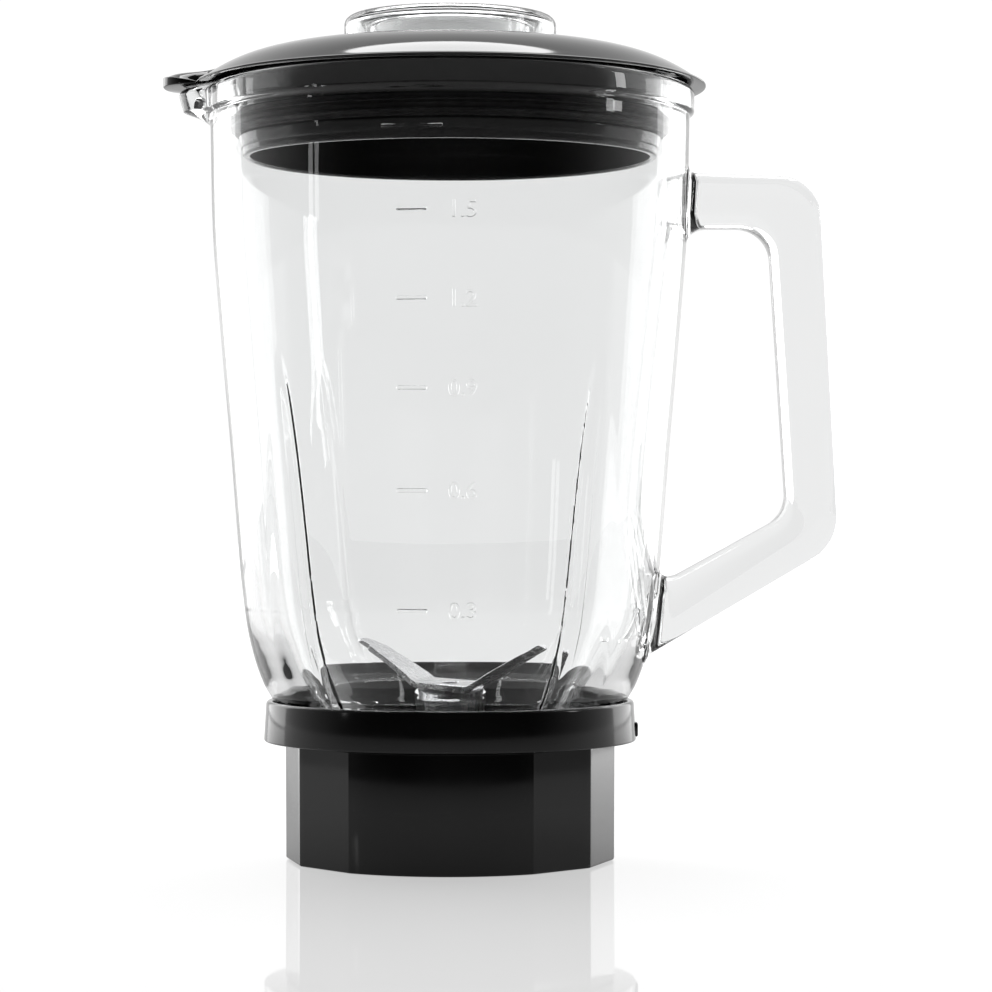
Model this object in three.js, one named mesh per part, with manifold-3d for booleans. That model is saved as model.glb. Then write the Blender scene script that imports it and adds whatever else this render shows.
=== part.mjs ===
// Glass blender jug with its lid, filler cap, blade unit and screw-on base.
// Millimetres, +Z up. The origin is on the drive axis, in the plane of the base's bottom rim.
// The handle points to +X and the pouring lip to -X; -Y is the front, where the scale is.

import * as THREE from 'three';
import { mergeVertices } from 'three/addons/utils/BufferGeometryUtils.js';
import Module from 'manifold-3d';

const wasm = await Module();
wasm.setup();

// ---------------------------------------------------------------- driving dimensions

const JUG_SIDES = 64;      // sides of the glass jug
const ROUND = 48;          // sides of the lid and collar
const MEDIUM = 36;         // sides of the rings and discs inside them
const FINE = 24;           // sides of the shaft and bearing parts
const HOLE = 16;           // sides of the screws and their holes
const GAP = 0.3;           // room between parts that touch in use

const SKIRT = { cornerR: 47, height: 33.5, wall: 2.6, arcStart: -125.6, arc: 65.5, deckZ: [9.5, 12.2],
  holeR: 22 };
const COLLAR = { bottomZ: 33.9, topZ: 45.3, outerR: 53.1, lipR: 50.6, tubeR: 42.4, socketR: 39.6 };
const LEDGE = { holeR: 24, z: [12.5, 17.0] };
const MARK = { width: 5, height: 4.1, z: 36.85 };

const NECK = { outerR: 37, innerR: 31.5, rimZ: 21.5, topZ: 35.6 };
const RIM = { z: 219.5, beadZ: 212, beadR: 69.7, wallR: 68.2, innerR: 64.4 };
// Each flute's middle in degrees from the front, and the side that it fades out to.
const FLUTE = { middles: [[41.7, 1], [132.2, -1], [-138.3, 1], [-47.8, -1]], topZ: 143, fullZ: 46,
  fadeZ: [39, 54], angle: 20, crease: 0.45, depth: 1.3 };
const SPOUT = { halfAngle: 15, reach: 7.7, startZ: 208.5, fullZ: 214.6 };
const HANDLE = { halfThickness: 9, edge: 2.8 };

const THREAD = { starts: 3, lead: 24, arc: 48, thickness: 3, bottomZ: 24, lugR: 39.2, keeperR: 37.5 };

const LID = { rimR: 73, rimZ: 220.1, rise: 10.85, power: 6.1, fall: 1.18, undersideZ: 219.85,
  skirtR: 60.5, skirtBottomZ: 199.3, skirtWall: 3, hubR: 25.2, hubWall: 2.3, hubBottomZ: 214,
  crownWall: 2.4 };
const BEAK = { tipX: -81.9, rootX: -62, width: 26, z: [220.1, 224.2] };
const CAP = { topZ: 240.3, outerR: 30.3, cupR: 24.7, wall: 2.1, bottomZ: 209 };

const SHAFT = { r: 4, tipR: 2.6, bottomZ: 2, grooveZ: [9.0, 9.9], grooveDepth: 0.6, shoulderZ: 45.3,
  tipZ: 47.5 };
const BOSS = { boreR: 6.3, topZ: 30.9, bottomZ: 11 };
const BUSH = { play: 0.06, outerR: 6, upperZ: [19.5, 27.2], lowerZ: [11.3, 18.5] };
const BLADE = { z: 45.6, thickness: 1.5, flat: 9.09, reach: 30.3, halfWidth: 6, tipHalfWidth: 3.6,
  bend: 31.7, turn: -29, steps: 20 };
const HUB = { sides: 8, topR: 10.4, bottomR: 9.2, bottomZ: 32.5 };
const WASHER = { hubR: 8.4, hubZ: [31.3, 32.1], thrustR: 8, thrustZ: [10.1, 10.7] };
const CLIP = { innerR: 3.7, outerR: 7, opening: 35, z: [9.1, 9.8] };
const COUPLING = { teeth: 6, outerR: 12.5, rootR: 8.6, toothAngle: 11, rootAngle: 17, z: [1.2, 8.6] };
const SCREW = { pitchR: 36, angles: [90, 210, 330], headR: 3.2, shankR: 1.5, headZ: [6.9, 9.2], tipZ: 15.3,
  slot: [3.8, 0.9], slotDepth: 1.2 };

// ---------------------------------------------------------------- materials

function finish(color, roughness, metalness = 0, opacity = 1) {
  return new THREE.MeshStandardMaterial({ color, roughness, metalness, opacity, transparent: opacity < 1 });
}

const materials = {
  glass: finish(0xdfe3e3, 0.05, 0, 0.35),
  clear: finish(0xe6e8e8, 0.08, 0, 0.4),
  gloss: finish(0x0a0a0a, 0.15),
  satin: finish(0x121212, 0.35),
  rubber: finish(0x1a1a1a, 0.7),
  steel: finish(0xc8c8c8, 0.25, 1),
  bronze: finish(0x9a7a4a, 0.5, 1),
};

const jugSet = new THREE.Group();

function addPart(name, geometry, material) {
  const mesh = new THREE.Mesh(geometry, materials[material]);
  mesh.name = name;
  jugSet.add(mesh);
}

// ---------------------------------------------------------------- geometry helpers

const degrees = THREE.MathUtils.degToRad;

function shapeOf(points) {
  return new THREE.Shape(points.map(([x, y]) => new THREE.Vector2(x, y)));
}

// Six times the volume inside a closed mesh: negative when its faces point inwards.
function signedVolume(geometry) {
  const { index } = geometry;
  const position = geometry.attributes.position;
  const [a, b, c] = [new THREE.Vector3(), new THREE.Vector3(), new THREE.Vector3()];
  let sum = 0;
  for (let i = 0; i < index.count; i += 3) {
    a.fromBufferAttribute(position, index.getX(i));
    b.fromBufferAttribute(position, index.getX(i + 1));
    c.fromBufferAttribute(position, index.getX(i + 2));
    sum += a.dot(b.cross(c));
  }
  return sum;
}

// A closed mesh with shared vertices and faces that point outwards.
function closed(geometry) {
  const bare = geometry.clone();
  bare.deleteAttribute('normal');
  bare.deleteAttribute('uv');
  bare.clearGroups();
  const merged = mergeVertices(bare, 1e-4);
  if (signedVolume(merged) < 0) {
    const corners = merged.index.array;
    for (let i = 0; i < corners.length; i += 3) {
      [corners[i], corners[i + 1]] = [corners[i + 1], corners[i]];
    }
  }
  return merged;
}

function solid(geometry) {
  const merged = closed(geometry);
  const mesh = new wasm.Mesh({
    numProp: 3,
    vertProperties: new Float32Array(merged.attributes.position.array),
    triVerts: new Uint32Array(merged.index.array),
  });
  mesh.merge();
  return new wasm.Manifold(mesh);
}

function geometryOf(manifold) {
  const mesh = manifold.getMesh();
  const geometry = new THREE.BufferGeometry();
  geometry.setAttribute('position', new THREE.BufferAttribute(mesh.vertProperties, 3));
  geometry.setIndex(new THREE.BufferAttribute(mesh.triVerts, 1));
  return geometry;
}

// A turned body about Z. The profile is a loop of [radius, height], or runs from axis to axis.
function turned(profile, sides = ROUND) {
  const onAxis = profile[0][0] === 0 && profile.at(-1)[0] === 0;
  const loop = onAxis ? profile : [...profile, profile[0]];
  const geometry = new THREE.LatheGeometry(loop.map(([r, z]) => new THREE.Vector2(r, z)), sides);
  return closed(geometry.rotateX(Math.PI / 2));
}

// A plate cut to a plan outline, from one height to another.
function plate(shape, [bottom, top], curveSegments = 12) {
  const options = { depth: top - bottom, bevelEnabled: false, curveSegments };
  return new THREE.ExtrudeGeometry(shape, options).translate(0, 0, bottom);
}

function rod(r, [bottom, top], sides = FINE) {
  return new THREE.CylinderGeometry(r, r, top - bottom, sides).rotateX(Math.PI / 2)
    .translate(0, 0, (top + bottom) / 2);
}

function ring(innerR, outerR, [bottom, top], sides = FINE) {
  return turned([[innerR, bottom], [outerR, bottom], [outerR, top], [innerR, top]], sides);
}

// Points of an arc about [r, z] from one angle to another, in degrees.
function arc([r, z], radius, from, to, count = 4) {
  const points = [];
  for (let i = 0; i <= count; i += 1) {
    const angle = degrees(from + ((to - from) * i) / count);
    points.push([r + radius * Math.cos(angle), z + radius * Math.sin(angle)]);
  }
  return points;
}

// A block that climbs round the axis: one lug of a thread with several starts.
function helicalLug(innerR, outerR, bottomZ, startAngle) {
  const steps = 10;
  const geometry = new THREE.BoxGeometry(1, 1, 1, steps, 1, 1);
  const position = geometry.attributes.position;
  for (let i = 0; i < position.count; i += 1) {
    const along = position.getX(i) + 0.5;
    const angle = degrees(startAngle + THREAD.arc * along);
    const r = THREE.MathUtils.lerp(innerR, outerR, position.getY(i) + 0.5);
    const climb = (THREAD.lead * THREAD.arc * along) / 360;
    const z = bottomZ + climb + THREAD.thickness * (position.getZ(i) + 0.5);
    position.setXYZ(i, r * Math.cos(angle), r * Math.sin(angle), z);
  }
  return geometry;
}

function threadLugs(innerR, outerR, bottomZ) {
  const lugs = [];
  for (let i = 0; i < THREAD.starts; i += 1) {
    lugs.push(solid(helicalLug(innerR, outerR, bottomZ, (360 * i) / THREAD.starts)));
  }
  return lugs;
}

function join(body, others) {
  return others.reduce((sum, other) => sum.add(other), body);
}

function cut(body, others) {
  return others.reduce((sum, other) => sum.subtract(other), body);
}

// ---------------------------------------------------------------- base

// The foot's plan: three wide arcs and, between them, three pairs of flats.
// The whole plan is turned so that an arc faces a little to the right of the front.
function footPlan(scale) {
  const points = [];
  const flat = (120 - SKIRT.arc) / 2;
  const r = SKIRT.cornerR * scale;
  const arcSteps = 9;
  for (let third = 0; third < 3; third += 1) {
    const start = SKIRT.arcStart + 120 * third;
    for (let i = 0; i <= arcSteps; i += 1) {
      const angle = degrees(start + (SKIRT.arc * i) / arcSteps);
      points.push([r * Math.cos(angle), r * Math.sin(angle)]);
    }
    const between = degrees(start + SKIRT.arc + flat);
    points.push([r * Math.cos(between), r * Math.sin(between)]);
  }
  return shapeOf(points);
}

function atScrews(make) {
  return SCREW.angles.map((angle) => {
    const geometry = make();
    const turn = degrees(angle);
    return geometry.translate(SCREW.pitchR * Math.cos(turn), SCREW.pitchR * Math.sin(turn), 0);
  });
}

function baseSkirt() {
  const inner = (SKIRT.cornerR - SKIRT.wall) / SKIRT.cornerR;
  const [deckBottom, deckTop] = SKIRT.deckZ;
  const holeR = SCREW.shankR + GAP;
  const through = [0, SKIRT.height];
  return cut(solid(plate(footPlan(1), [0, SKIRT.height])), [
    solid(plate(footPlan(inner), [-1, deckBottom])),
    solid(plate(footPlan(inner), [deckTop, SKIRT.height + 1])),
    solid(rod(SKIRT.holeR, through)),
    ...atScrews(() => rod(holeR, through, HOLE)).map(solid),
  ]);
}

function baseCollar() {
  const { bottomZ, topZ, outerR, lipR, tubeR, socketR } = COLLAR;
  const [ledgeBottom, ledgeTop] = LEDGE.z;
  const profile = [
    [LEDGE.holeR, ledgeBottom], [tubeR, ledgeBottom], [tubeR, bottomZ], [outerR, bottomZ],
    ...arc([outerR - 2.2, topZ - 1.6], 1.6, 20, 90), [lipR, topZ - 0.3], [lipR, 41.5],
    [46.5, 38.6], [41.8, 36.2], [socketR, 34.6], [socketR, ledgeTop], [LEDGE.holeR, ledgeTop],
  ];
  const keepers = threadLugs(THREAD.keeperR, socketR + 1, THREAD.bottomZ + THREAD.thickness + GAP);
  const holes = atScrews(() => rod(SCREW.shankR + GAP, [0, SCREW.tipZ + GAP], HOLE)).map(solid);
  const mark = new THREE.BoxGeometry(3, MARK.width, MARK.height).translate(outerR - 0.5, 0, MARK.z);
  return cut(join(solid(turned(profile)), [...keepers, solid(mark)]), holes);
}

function bladeCarrier() {
  const profile = [
    [BOSS.boreR, BOSS.bottomZ], [10.5, BOSS.bottomZ], [12, 13.2], [21.8, 13.2], [21.8, 16.2],
    [23.4, 16.2], [23.4, 17.3], [38.9, 17.3], [38.9, 18.9], [30.5, 18.9], [20, 21], [12.5, 26],
    [10.4, 29.6], [9.2, BOSS.topZ], [BOSS.boreR, BOSS.topZ],
  ];
  return turned(profile, MEDIUM);
}

// A cross-head screw, driven from below.
function screw() {
  const [headBottom, headTop] = SCREW.headZ;
  const [slotLength, slotWidth] = SCREW.slot;
  const head = join(solid(rod(SCREW.headR, [headBottom, headTop])), [
    solid(rod(SCREW.shankR, [headTop - 1, SCREW.tipZ], HOLE)),
  ]);
  const recess = [[slotLength, slotWidth], [slotWidth, slotLength]].map(([x, y]) => (
    solid(new THREE.BoxGeometry(x, y, 2 * SCREW.slotDepth).translate(0, 0, headBottom))
  ));
  return geometryOf(cut(head, recess));
}

addPart('base_skirt', geometryOf(baseSkirt()), 'satin');
addPart('base_collar', geometryOf(baseCollar()), 'satin');
addPart('blade_carrier', bladeCarrier(), 'satin');
addPart('carrier_oring', turned(arc([22.85, 15.2], 0.7, 0, 300, 5), MEDIUM), 'rubber');
addPart('upper_bush', ring(SHAFT.r + BUSH.play, BUSH.outerR, BUSH.upperZ), 'bronze');
addPart('lower_bush', ring(SHAFT.r + BUSH.play, BUSH.outerR, BUSH.lowerZ), 'bronze');
addPart('shaft_seal', turned([[4.6, 27.6], [6, 27.6], [6, 30.6], [5, 30.6], [4.3, 29.4]], FINE), 'rubber');
atScrews(screw).forEach((geometry, i) => addPart(`base_screw_${i + 1}`, geometry, 'steel'));

// ---------------------------------------------------------------- glass jug

// The wall's outside from the collar to the rim, as [radius, height].
const outside = [[50.8, 46], [52.9, 49.6], [54.75, 54.2], [56.2, 58.9], [57.3, 63.5], [58.2, 68.5],
  [58.95, 74.5], [60.15, 86], [61.25, 100], [62.4, 114.9], [63.55, 128], [64.7, 141], [65.4, 149.2],
  [67.6, 177.8], [RIM.wallR, 203.7]];

// How thick the wall is, measured level, as [height, thickness]: it thickens into the bottom.
const thickness = [[46, 7.7], [50, 7.0], [54, 6.3], [58, 5.65], [62, 5.1], [66, 4.7], [80, 4.4],
  [RIM.z, 4.4]];
const outerSkin = 3;

// The value at a height in a list of [height, value], with the end values beyond its ends.
function valueAt(table, z) {
  const above = table.findIndex(([height]) => height >= z);
  if (above < 1) {
    return table.at(above)[1];
  }
  const [[lowZ, low], [highZ, high]] = [table[above - 1], table[above]];
  return THREE.MathUtils.mapLinear(z, lowZ, highZ, low, high);
}

function jugProfile() {
  const inside = outside.map(([r, z]) => [r - valueAt(thickness, z), z]).reverse();
  return [
    [NECK.innerR, NECK.rimZ + 0.8], ...arc([NECK.outerR - 1.5, NECK.rimZ + 1.5], 1.5, -90, 0, 2),
    [NECK.outerR, NECK.topZ], [40, 37.6], [44.5, 39.6], [48, 42.4], ...outside,
    [RIM.wallR, RIM.beadZ - 1], [RIM.beadR - 0.3, RIM.beadZ], [RIM.beadR, RIM.beadZ + 2],
    ...arc([RIM.beadR - 1.8, RIM.z - 1.8], 1.8, 0, 90, 3),
    ...arc([RIM.innerR + 1.2, RIM.z - 1.2], 1.2, 90, 180, 2),
    [RIM.wallR - valueAt(thickness, RIM.beadZ), RIM.beadZ], ...inside, [36, 38.7], [NECK.innerR, 33],
  ];
}

// How far a flute is pressed into the outside, at an angle from the front and a height. It starts at a
// crease on its front or back side, is deepest a third of the way across and fades out to the jug's side.
function fluteDepth(angle, z) {
  const down = Math.min((FLUTE.topZ - z) / (FLUTE.topZ - FLUTE.fullZ), 1);
  if (down <= 0) {
    return 0;
  }
  const fade = THREE.MathUtils.smoothstep(z, ...FLUTE.fadeZ);
  const scoops = FLUTE.middles.map(([middle, side]) => {
    const fromMiddle = THREE.MathUtils.euclideanModulo(angle - middle + 180, 360) - 180;
    const across = (fromMiddle * side) / (FLUTE.angle * Math.sqrt(down)) + FLUTE.crease;
    return across > 0 && across < 1 ? (27 / 4) * across * (1 - across) ** 2 : 0;
  });
  return FLUTE.depth * down * fade * Math.max(...scoops);
}

// How far the pouring lip is drawn out, at an angle from -X and a height.
function lipReach(angle, z) {
  const across = Math.abs(angle) / SPOUT.halfAngle;
  if (across >= 1) {
    return 0;
  }
  const height = THREE.MathUtils.smoothstep(z, SPOUT.startZ, SPOUT.fullZ);
  return SPOUT.reach * height * Math.cos((across * Math.PI) / 2) ** 2;
}

function jugBody() {
  const geometry = turned(jugProfile(), JUG_SIDES);
  const position = geometry.attributes.position;
  const outerAt = outside.map(([r, z]) => [z, r]);
  for (let i = 0; i < position.count; i += 1) {
    const [x, y, z] = [position.getX(i), position.getY(i), position.getZ(i)];
    const r = Math.hypot(x, y);
    const fromFront = THREE.MathUtils.radToDeg(Math.atan2(x, -y));
    const fromLip = THREE.MathUtils.radToDeg(Math.atan2(y, -x));
    const onOutside = r > valueAt(outerAt, z) - outerSkin;
    const flute = onOutside ? fluteDepth(fromFront, z) : 0;
    const scale = (r - flute + lipReach(fromLip, z)) / r;
    position.setXY(i, x * scale, y * scale);
  }
  return solid(geometry);
}

// The handle's side view, with x out from the jug's axis and y up. Its ends stop inside the wall.
function handleShape() {
  const shape = new THREE.Shape();
  shape.moveTo(66, 195.2);
  shape.lineTo(93.4, 194.3);
  shape.bezierCurveTo(100, 194.1, 105, 189.5, 105.6, 182.3);
  shape.lineTo(107.1, 153.8);
  shape.lineTo(109.9, 102.3);
  shape.quadraticCurveTo(110, 94.5, 104.5, 87.9);
  shape.lineTo(102, 85.2);
  shape.lineTo(63, 62.3);
  shape.lineTo(54.6, 57.6);
  shape.lineTo(56.5, 76.4);
  shape.lineTo(65.9, 81.6);
  shape.lineTo(90.5, 95.3);
  shape.quadraticCurveTo(95.7, 99, 95.6, 107.7);
  shape.lineTo(93, 152.1);
  shape.lineTo(91.5, 171.4);
  shape.quadraticCurveTo(90.4, 180, 81.4, 180);
  shape.lineTo(65.6, 180);
  return shape;
}

function handle() {
  const { halfThickness, edge } = HANDLE;
  const options = { depth: 2 * (halfThickness - edge), bevelEnabled: true, bevelThickness: edge,
    bevelSize: edge, bevelOffset: -edge, bevelSegments: 2, curveSegments: 4 };
  const geometry = new THREE.ExtrudeGeometry(handleShape(), options);
  return solid(geometry.translate(0, 0, edge - halfThickness).rotateX(Math.PI / 2));
}

function glassJug() {
  const lugs = threadLugs(NECK.outerR - 1, THREAD.lugR, THREAD.bottomZ);
  return join(jugBody(), [handle(), ...lugs]);
}

addPart('glass_jug', geometryOf(glassJug()), 'glass');
addPart('jug_gasket', ring(31.3, 38, [19.2, NECK.rimZ - GAP], MEDIUM), 'rubber');

// ---------------------------------------------------------------- lid and filler cap

function crownZ(r) {
  return LID.rimZ + LID.rise * (1 - (r / LID.rimR) ** LID.power) ** LID.fall;
}

function crown(radii, drop) {
  return radii.map((r) => [r, crownZ(r) - drop]);
}

function lidBody() {
  const { rimR, undersideZ, skirtR, skirtBottomZ, skirtWall, hubR, hubWall, hubBottomZ, crownWall } = LID;
  const hubOuterR = hubR + hubWall;
  const upstandZ = crownZ(hubOuterR) + 1.8;
  const profile = [
    [hubR, hubBottomZ], [hubR, upstandZ], [hubOuterR, upstandZ],
    ...crown([hubOuterR, 46, 54, 60, 65, 69.5, 72], 0), [rimR, 220.5], [rimR - 0.3, undersideZ],
    [skirtR, undersideZ], [skirtR, 211.6], [59.3, 211.4], [59.3, 204.9], [60.2, 204.7],
    [59.6, skirtBottomZ + 0.9], [58.8, skirtBottomZ], [skirtR - skirtWall - 0.6, skirtBottomZ],
    [skirtR - skirtWall, 216], ...crown([56, 46, hubOuterR], crownWall), [hubOuterR, hubBottomZ],
  ];
  return solid(turned(profile));
}

// The beak is a round-ended tongue that covers the pouring lip.
function beak() {
  const half = BEAK.width / 2;
  const shape = new THREE.Shape();
  shape.moveTo(BEAK.rootX, -half);
  shape.lineTo(BEAK.rootX, half);
  shape.lineTo(-71.5, half - 0.6);
  shape.quadraticCurveTo(-79, half - 1.5, BEAK.tipX + 1.2, 5);
  shape.quadraticCurveTo(BEAK.tipX, 3, BEAK.tipX, 0);
  shape.quadraticCurveTo(BEAK.tipX, -3, BEAK.tipX + 1.2, -5);
  shape.quadraticCurveTo(-79, -half + 1.5, -71.5, -half + 0.6);
  return solid(plate(shape, BEAK.z, 5));
}

function lidSeal() {
  return turned([
    [59.6, 205.2], [61.3, 205.2], [62.9, 206.4], [62.9, 207], [61.3, 208],
    [62.9, 209.1], [62.9, 209.7], [61.3, 211.1], [59.6, 211.1],
  ], MEDIUM);
}

function fillerCap() {
  const { topZ, outerR, cupR, wall, bottomZ } = CAP;
  const brimZ = crownZ(outerR) + 0.4;
  const innerR = cupR - wall;
  const roofZ = topZ - wall;
  return turned([
    [0, topZ], [outerR - 3, topZ], ...arc([outerR - 2.6, topZ - 2.6], 2.6, 70, 0, 3), [outerR, brimZ],
    [outerR - wall, brimZ], [outerR - wall, roofZ - 1.6], [cupR, roofZ - 1.6], [cupR, bottomZ + 0.5],
    [cupR - 0.6, bottomZ], [innerR - 0.4, bottomZ], [innerR, roofZ - 1], [innerR - 1, roofZ], [0, roofZ],
  ], MEDIUM);
}

addPart('lid', geometryOf(join(lidBody(), [beak()])), 'gloss');
addPart('lid_seal', lidSeal(), 'rubber');
addPart('filler_cap', fillerCap(), 'clear');

// ---------------------------------------------------------------- blade unit

function bladeShaft() {
  const { r, tipR, bottomZ, grooveDepth, shoulderZ, tipZ } = SHAFT;
  const [grooveBottom, grooveTop] = SHAFT.grooveZ;
  const grooveR = r - grooveDepth;
  return turned([
    [0, bottomZ], [r - 0.5, bottomZ], [r, bottomZ + 0.5], [r, grooveBottom], [grooveR, grooveBottom],
    [grooveR, grooveTop], [r, grooveTop], [r, shoulderZ], [tipR, shoulderZ], [tipR, tipZ - 0.3],
    [tipR - 0.3, tipZ], [0, tipZ],
  ], FINE);
}

// One strip, flat in the middle and bent up at both ends, with wings that narrow to their tips.
function cuttingBlade() {
  const { z, flat, reach, halfWidth, tipHalfWidth, bend, turn, steps } = BLADE;
  const geometry = new THREE.BoxGeometry(2 * reach, 2, BLADE.thickness, steps, 2, 1);
  const position = geometry.attributes.position;
  const rise = Math.tan(degrees(bend));
  for (let i = 0; i < position.count; i += 1) {
    const past = Math.max(Math.abs(position.getX(i)) - flat, 0);
    const width = THREE.MathUtils.lerp(halfWidth, tipHalfWidth, past / (reach - flat));
    position.setY(i, position.getY(i) * width);
    position.setZ(i, position.getZ(i) + past * rise);
  }
  const strip = geometry.rotateZ(degrees(turn)).translate(0, 0, z + BLADE.thickness / 2);
  const hole = rod(SHAFT.tipR + GAP, [z - 1, z + BLADE.thickness + 1]);
  return geometryOf(cut(solid(strip), [solid(hole)]));
}

function bladeHub() {
  const { sides, topR, bottomR, bottomZ } = HUB;
  const height = BLADE.z - GAP - bottomZ;
  const cone = new THREE.CylinderGeometry(topR, bottomR, height, sides).rotateX(Math.PI / 2)
    .rotateZ(Math.PI / 2).translate(0, 0, bottomZ + height / 2);
  return geometryOf(cut(solid(cone), [solid(rod(SHAFT.r + GAP, [bottomZ - 1, BLADE.z]))]));
}

function driveCoupling() {
  const { teeth, outerR, rootR, toothAngle, rootAngle, z } = COUPLING;
  const tooth = [[rootR, -rootAngle], [outerR, -toothAngle], [outerR, 0], [outerR, toothAngle],
    [rootR, rootAngle]];
  const points = [];
  for (let i = 0; i < teeth; i += 1) {
    const centre = (360 * i) / teeth;
    for (const [r, offset] of tooth) {
      const angle = degrees(centre + offset);
      points.push([r * Math.cos(angle), r * Math.sin(angle)]);
    }
  }
  const body = solid(plate(shapeOf(points), z));
  return geometryOf(cut(body, [solid(rod(SHAFT.r + GAP, [z[0] - 1, z[1] + 1]))]));
}

// A spring clip, open on one side, that snaps into the shaft's groove.
function retainingClip() {
  const { innerR, outerR, opening } = CLIP;
  const steps = 18;
  const points = [];
  for (const [r, forward] of [[outerR, true], [innerR, false]]) {
    for (let i = 0; i <= steps; i += 1) {
      const part = forward ? i / steps : 1 - i / steps;
      const angle = degrees(opening + (360 - 2 * opening) * part);
      points.push([r * Math.cos(angle), r * Math.sin(angle)]);
    }
  }
  return closed(plate(shapeOf(points), CLIP.z));
}

addPart('blade_shaft', bladeShaft(), 'steel');
addPart('cutting_blade', cuttingBlade(), 'steel');
addPart('blade_hub', bladeHub(), 'steel');
addPart('hub_washer', ring(SHAFT.r + GAP, WASHER.hubR, WASHER.hubZ), 'steel');
addPart('thrust_washer', ring(SHAFT.r + GAP, WASHER.thrustR, WASHER.thrustZ), 'steel');
addPart('retaining_clip', retainingClip(), 'steel');
addPart('drive_coupling', driveCoupling(), 'steel');

export default jugSet;
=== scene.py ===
"""Glass blender jug: fine surfaces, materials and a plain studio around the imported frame.

Lengths are in millimetres until a mesh is made, and in metres after that. The drive axis is Z,
the handle points to +X, the pouring lip to -X and the front, with the scale, to -Y.
"""

import math

import bmesh
import bpy
import numpy as np
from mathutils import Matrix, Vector


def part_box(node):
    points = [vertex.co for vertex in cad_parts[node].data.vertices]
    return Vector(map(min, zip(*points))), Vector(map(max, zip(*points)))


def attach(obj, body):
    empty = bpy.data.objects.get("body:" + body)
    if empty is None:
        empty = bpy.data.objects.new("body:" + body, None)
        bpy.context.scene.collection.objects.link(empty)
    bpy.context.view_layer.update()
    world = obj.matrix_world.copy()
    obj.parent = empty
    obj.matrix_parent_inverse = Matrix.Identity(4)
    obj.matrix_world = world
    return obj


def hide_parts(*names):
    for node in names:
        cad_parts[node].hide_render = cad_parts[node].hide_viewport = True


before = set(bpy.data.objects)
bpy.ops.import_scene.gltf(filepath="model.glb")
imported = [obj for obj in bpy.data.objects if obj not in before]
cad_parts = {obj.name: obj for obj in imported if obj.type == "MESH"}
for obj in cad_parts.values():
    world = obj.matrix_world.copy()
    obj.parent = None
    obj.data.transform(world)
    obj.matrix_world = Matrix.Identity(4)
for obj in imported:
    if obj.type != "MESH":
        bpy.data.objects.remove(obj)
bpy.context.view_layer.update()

MM = 0.001


def box_mm(node):
    """Lowest and highest corner of a CAD node, in millimetres."""
    low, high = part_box(node)
    return np.array(low) / MM, np.array(high) / MM


# ------------------------------------------------------------------ sizes

# sides of turned bodies
JUG_SIDES, LID_SIDES, CAP_SIDES = 576, 480, 320
LARGE = 288     # the collar and the lid's seal
MIDDLE = 160    # rings and discs
SMALL = 72      # the shaft

JUG_LOW, JUG_HIGH = box_mm("glass_jug")
LID_LOW, LID_HIGH = box_mm("lid")
CAP_LOW, CAP_HIGH = box_mm("filler_cap")
COLLAR_HIGH = box_mm("base_collar")[1]
SKIRT_LOW, SKIRT_HIGH = box_mm("base_skirt")
BLADE_LOW = box_mm("cutting_blade")[0]
HUB_LOW, HUB_HIGH = box_mm("blade_hub")
GASKET_LOW, GASKET_HIGH = box_mm("jug_gasket")

# the jug's wall, as radius and height of the outside, from the collar to the rim
OUTER_WALL = [(50.8, 46), (52.9, 49.6), (54.75, 54.2), (56.2, 58.9), (57.3, 63.5), (58.2, 68.5),
              (58.95, 74.5), (60.15, 86), (62.4, 114.9), (65.4, 149.2), (67.6, 177.8), (68.2, 203.7),
              (68.3, 210.5)]
# the wall's thickness, measured level, against height: it thickens into the bottom
WALL_THICKNESS = [(46, 7.7), (50, 7.0), (54, 6.3), (58, 5.65), (62, 5.1), (66, 4.7), (72, 4.45), (80, 4.4),
                  (215, 4.4)]
NECK_OUTER, NECK_INNER = 37.0, 31.5
BEAD_R, BEAD_Z = 69.7, 212.0

# each flute's middle in degrees from the front, and the side that it fades out to
FLUTES = ((41.7, 1), (132.2, -1), (-138.3, 1), (-47.8, -1))
# heights: where a flute starts, is at its fullest, begins to fade out and has ended
FLUTE_TOP, FLUTE_FULL, FLUTE_FADE, FLUTE_END = 143.0, 46.0, 54.0, 39.0
FLUTE_ANGLE, FLUTE_DEPTH = 20.0, 1.3
FLUTE_CREASE = 0.45         # how far the crease lies from the flute's middle, as a part of its width
SCOOP_SCALE = 27 / 4        # brings the highest value of t (1 - t)^2 to 1
RIB_HEIGHT, RIB_ANGLE = 0.55, 0.7       # the angle is what the rib's steep side takes, in degrees
SPOUT_HALF_ANGLE, SPOUT_REACH = 15.0, 7.7
SPOUT_START, SPOUT_FULL = 208.5, 214.6


# ------------------------------------------------------------------ mesh helpers

def mesh_object(name, vertices, faces, sharp=35):
    """A new object from points in millimetres, shaded smooth with edges past `sharp` degrees."""
    mesh = bpy.data.meshes.new(name)
    mesh.from_pydata((np.asarray(vertices, float) * MM).tolist(), [], faces)
    mesh.validate()
    piece = bpy.data.objects.new(name, mesh)
    bpy.context.scene.collection.objects.link(piece)
    finish_mesh(piece, sharp)
    return piece


def finish_mesh(piece, sharp=35):
    """Faces point outwards and are shaded smooth, except across sharp edges."""
    bm = bmesh.new()
    bm.from_mesh(piece.data)
    bmesh.ops.recalc_face_normals(bm, faces=bm.faces)
    if bm.calc_volume(signed=True) < 0:
        bmesh.ops.reverse_faces(bm, faces=bm.faces)
    bm.to_mesh(piece.data)
    bm.free()
    piece.data.shade_smooth()
    piece.data.set_sharp_from_angle(angle=math.radians(sharp))


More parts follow.
